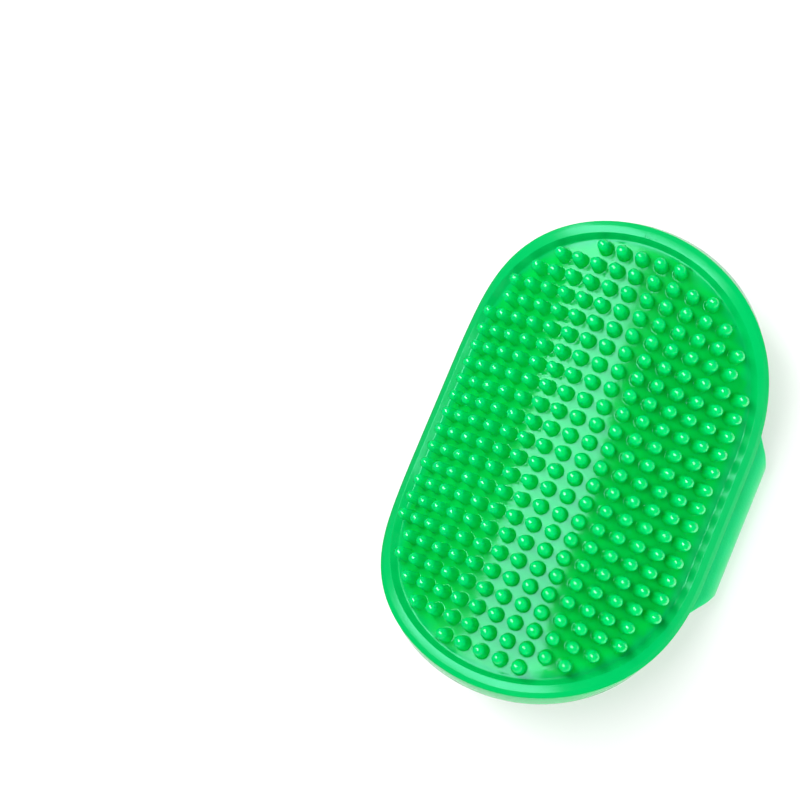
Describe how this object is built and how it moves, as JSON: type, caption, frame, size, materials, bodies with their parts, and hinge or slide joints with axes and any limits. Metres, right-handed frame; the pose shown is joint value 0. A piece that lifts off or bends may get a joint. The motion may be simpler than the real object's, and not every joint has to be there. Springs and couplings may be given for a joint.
{
  "type": "rubber curry brush",
  "caption": "Bowed oval rubber curry brush: a field of blunt studs inside a raised rim, with a pegged two-part hand strap across its back.",
  "frame": {"origin": "centre of the strap's flat underside, straight below the middle of the pad", "axes": "+Z out of the stud face, +Y along the brush, +X across it towards the outer half of the strap"},
  "size_m": [0.094, 0.135, 0.0397],
  "materials": {
    "pad_rubber": "gloss",
    "strap_rubber": "satin"
  },
  "bodies": {
    "pad": {"face_pad": "pad_rubber", "strap_fold_outer": "strap_rubber", "strap_fold_inner": "strap_rubber"},
    "outer_tongue": {"strap_tongue_outer": "strap_rubber"},
    "inner_tongue": {"strap_tongue_inner": "strap_rubber"}
  },
  "joints": [
    {"name": "outer_tongue_fold", "type": "hinge", "parent": "pad", "child": "outer_tongue", "pos_m": [0.0452, 0, 0.0065], "axis": [0, -1, 0], "range_deg": [0, 120], "deforming": ["strap_fold_outer"]},
    {"name": "inner_tongue_fold", "type": "hinge", "parent": "pad", "child": "inner_tongue", "pos_m": [-0.045, 0, 0.0081], "axis": [0, 1, 0], "range_deg": [0, 84], "deforming": ["strap_fold_inner"]}
  ],
  "couplings": [
    {"joint": "inner_tongue_fold", "follows": "outer_tongue_fold", "ratio": 0.7}
  ]
}
